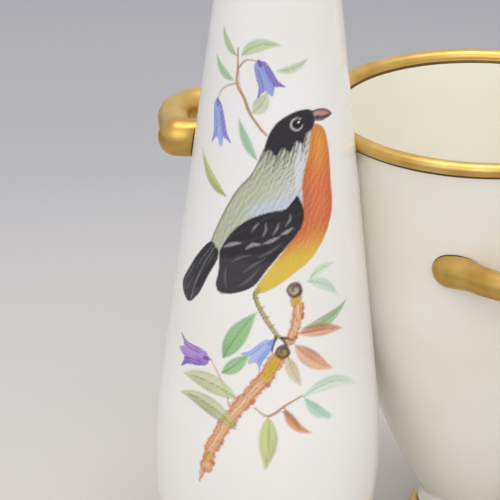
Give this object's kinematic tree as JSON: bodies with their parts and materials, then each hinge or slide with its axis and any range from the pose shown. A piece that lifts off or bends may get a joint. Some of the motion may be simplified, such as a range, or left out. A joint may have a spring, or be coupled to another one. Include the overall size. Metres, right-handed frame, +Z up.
{
  "type": "triple vase",
  "caption": "Porcelain vase of a footed bowl joined between tall tapering flasks, with gilded lips, gilded round loops and a bird painted on a flowering branch.",
  "frame": {"origin": "under the middle of the bowl, on the surface that the vase stands on", "axes": "+Z up; the row of vessels runs along X; -Y is the painted front, +Y the back with the flask loops"},
  "size_m": [0.183, 0.1112, 0.207],
  "materials": {
    "glazed_porcelain": "clear gloss glaze over white porcelain, enamel painting on the front of the flasks, burnished gilding on the lips, loops and foot"
  },
  "bodies": {
    "root": {"triple_vase": "glazed_porcelain"}
  },
  "joints": []
}
